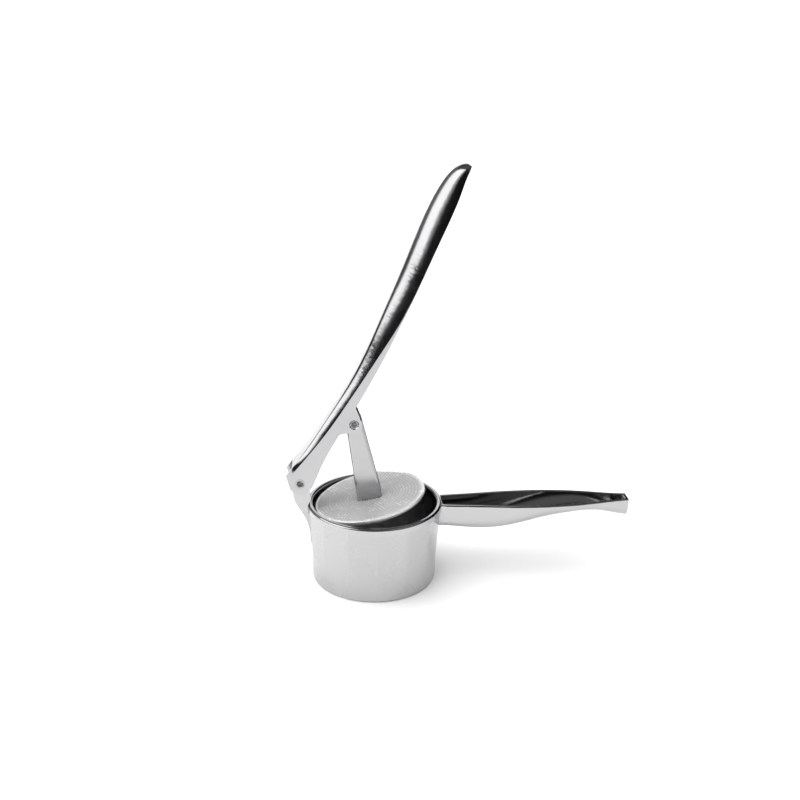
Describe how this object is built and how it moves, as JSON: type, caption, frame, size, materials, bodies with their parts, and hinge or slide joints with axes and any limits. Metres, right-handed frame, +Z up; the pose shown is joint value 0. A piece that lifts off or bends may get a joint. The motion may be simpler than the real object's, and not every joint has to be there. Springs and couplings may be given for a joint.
{
  "type": "potato ricer",
  "caption": "Hand potato ricer: cast pot with a hollow side handle, a hinged hollow lever, and a dimpled round press plate on a link that is driven down over a perforated disc.",
  "frame": {"origin": "centre of the round outlet in the pot's flat base, on the pot's axis", "axes": "+Z up the pot's axis, +X out along the lower handle, the lever's hinge on -X and its axis along Y"},
  "size_m": [0.2388, 0.093, 0.2837],
  "materials": {
    "cast_aluminium": "polished casting, faintly satin",
    "sheet_steel": "rolled stainless sheet, fine grain",
    "plate_steel": "pressed stainless sheet",
    "pin_steel": "staked steel rivet"
  },
  "bodies": {
    "pot_assembly": {"pot_body": "cast_aluminium", "sieve_disc": "plate_steel"},
    "lever_assembly": {"lever": "cast_aluminium", "hinge_pin": "pin_steel", "link_pin": "pin_steel"},
    "press_assembly": {"press_link": "sheet_steel", "press_plate": "plate_steel"}
  },
  "joints": [
    {"name": "lever_hinge", "type": "hinge", "parent": "pot_assembly", "child": "lever_assembly", "pos_m": [-0.0509, 0, 0.0726], "axis": [0, 1, 0], "range_deg": [-3, 54]},
    {"name": "press_hinge", "type": "hinge", "parent": "lever_assembly", "child": "press_assembly", "pos_m": [-0.01447, 0, 0.11428], "axis": [0, 1, 0], "range_deg": [-37, 2.5]}
  ],
  "couplings": [
    {"joint": "press_hinge", "follows": "lever_hinge", "ratio": -0.68}
  ]
}
